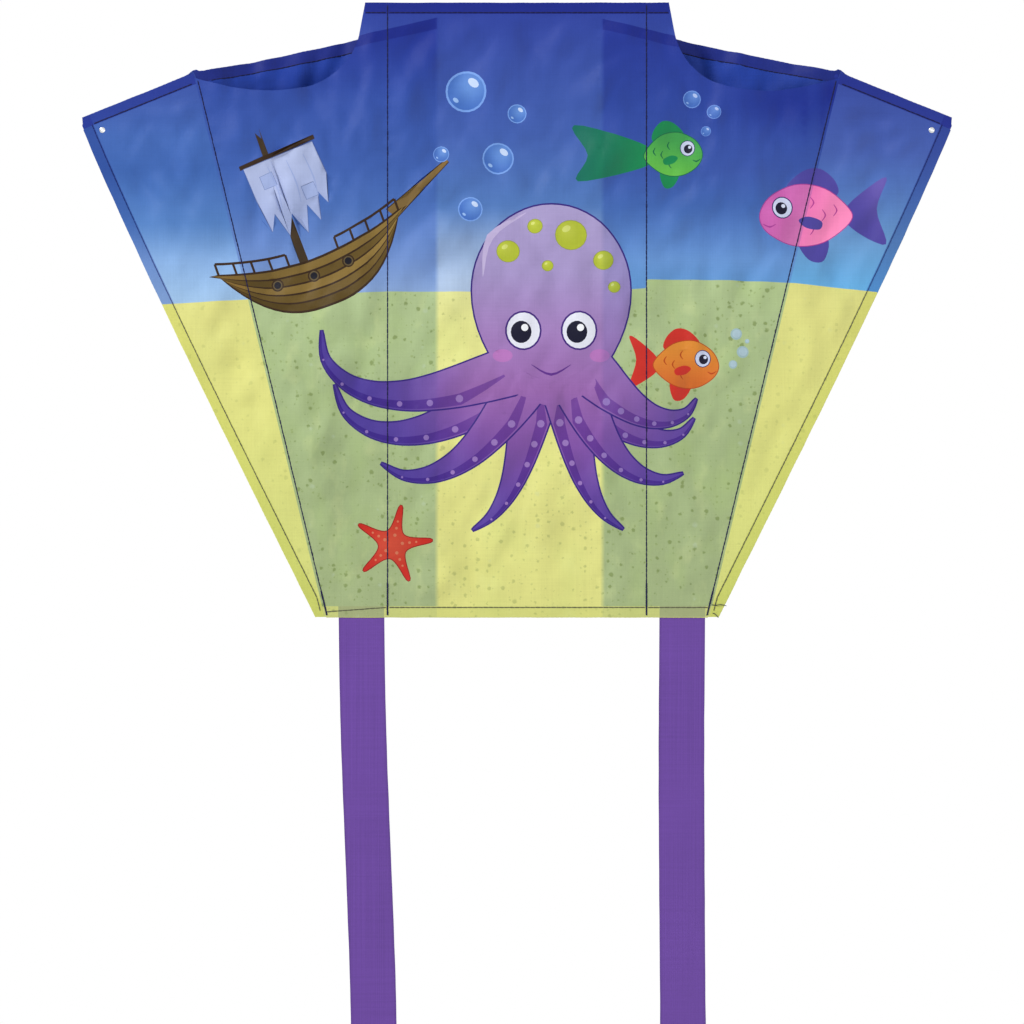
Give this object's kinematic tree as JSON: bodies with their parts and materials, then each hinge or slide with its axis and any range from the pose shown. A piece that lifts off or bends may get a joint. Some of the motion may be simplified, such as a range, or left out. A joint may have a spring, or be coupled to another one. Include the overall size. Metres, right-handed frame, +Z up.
{
  "type": "pocket sled kite",
  "caption": "Frameless pocket sled kite of printed nylon with two open tunnels behind the face, folding keels with bridle eyelets, and ribbon tails.",
  "frame": {"origin": "middle of the leading edge, on the face sheet's middle plane", "axes": "+Z up along the kite's centre line towards the leading edge, +X towards the right keel as seen from the printed face, +Y out of the back; the printed face looks along -Y"},
  "size_m": [0.4836, 0.0146, 0.9354],
  "materials": {
    "printed_sail": "printed ripstop-weight nylon taffeta, soft sheen",
    "tunnel_cloth": "plain royal blue nylon taffeta, soft sheen",
    "ribbon": "purple woven ribbon with hot-cut edges, soft sheen",
    "thread": "navy polyester sewing thread",
    "eyelet_metal": "bright rolled eyelet"
  },
  "bodies": {
    "sail": {"face_sail": "printed_sail", "leading_edge_hem": "printed_sail", "trailing_edge_hem": "printed_sail", "tunnel_back_left": "tunnel_cloth", "tunnel_back_right": "tunnel_cloth", "mouth_hem_left": "tunnel_cloth", "mouth_hem_right": "tunnel_cloth", "inner_seam_thread_left": "thread", "inner_seam_thread_right": "thread", "keel_seam_thread_left": "thread", "keel_seam_thread_right": "thread", "mouth_thread_left": "thread", "mouth_thread_right": "thread", "leading_hem_thread": "thread", "trailing_hem_thread": "thread", "bartacks": "thread", "tail_tab_left": "ribbon", "tail_tab_right": "ribbon"},
    "keel_left": {"keel_left": "printed_sail", "keel_top_hem_left": "printed_sail", "keel_outer_hem_left": "printed_sail", "keel_tip_fold_left": "printed_sail", "eyelet_left": "eyelet_metal", "keel_top_thread_left": "thread", "keel_outer_thread_left": "thread"},
    "tail_left_1": {"tail_left_1": "ribbon"},
    "tail_left_2": {"tail_left_2": "ribbon"},
    "tail_left_3": {"tail_left_3": "ribbon"},
    "tail_left_4": {"tail_left_4": "ribbon"},
    "keel_right": {"keel_right": "printed_sail", "keel_top_hem_right": "printed_sail", "keel_outer_hem_right": "printed_sail", "keel_tip_fold_right": "printed_sail", "eyelet_right": "eyelet_metal", "keel_top_thread_right": "thread", "keel_outer_thread_right": "thread"},
    "tail_right_1": {"tail_right_1": "ribbon"},
    "tail_right_2": {"tail_right_2": "ribbon"},
    "tail_right_3": {"tail_right_3": "ribbon"},
    "tail_right_4": {"tail_right_4": "ribbon"}
  },
  "joints": [
    {"name": "keel_left_fold", "type": "hinge", "parent": "sail", "child": "keel_left", "pos_m": [-0.14113, 0, -0.2], "axis": [-0.2347, 0, 0.9721], "range_deg": [-40, 150]},
    {"name": "keel_right_fold", "type": "hinge", "parent": "sail", "child": "keel_right", "pos_m": [0.14113, 0, -0.2], "axis": [-0.2347, 0, -0.9721], "range_deg": [-40, 150]},
    {"name": "tail_left_bend_1", "type": "hinge", "parent": "sail", "child": "tail_left_1", "pos_m": [-0.09, 0.0004, -0.342], "axis": [1, 0, 0], "range_deg": [-80, 80]},
    {"name": "tail_left_bend_2", "type": "hinge", "parent": "tail_left_1", "child": "tail_left_2", "pos_m": [-0.09, 0.0004, -0.49035], "axis": [1, 0, 0], "range_deg": [-50, 50]},
    {"name": "tail_left_bend_3", "type": "hinge", "parent": "tail_left_2", "child": "tail_left_3", "pos_m": [-0.09, 0.0004, -0.6387], "axis": [1, 0, 0], "range_deg": [-50, 50]},
    {"name": "tail_left_bend_4", "type": "hinge", "parent": "tail_left_3", "child": "tail_left_4", "pos_m": [-0.09, 0.0004, -0.78705], "axis": [1, 0, 0], "range_deg": [-50, 50]},
    {"name": "tail_right_bend_1", "type": "hinge", "parent": "sail", "child": "tail_right_1", "pos_m": [0.09, 0.0004, -0.342], "axis": [1, 0, 0], "range_deg": [-80, 80]},
    {"name": "tail_right_bend_2", "type": "hinge", "parent": "tail_right_1", "child": "tail_right_2", "pos_m": [0.09, 0.0004, -0.49035], "axis": [1, 0, 0], "range_deg": [-50, 50]},
    {"name": "tail_right_bend_3", "type": "hinge", "parent": "tail_right_2", "child": "tail_right_3", "pos_m": [0.09, 0.0004, -0.6387], "axis": [1, 0, 0], "range_deg": [-50, 50]},
    {"name": "tail_right_bend_4", "type": "hinge", "parent": "tail_right_3", "child": "tail_right_4", "pos_m": [0.09, 0.0004, -0.78705], "axis": [1, 0, 0], "range_deg": [-50, 50]}
  ]
}
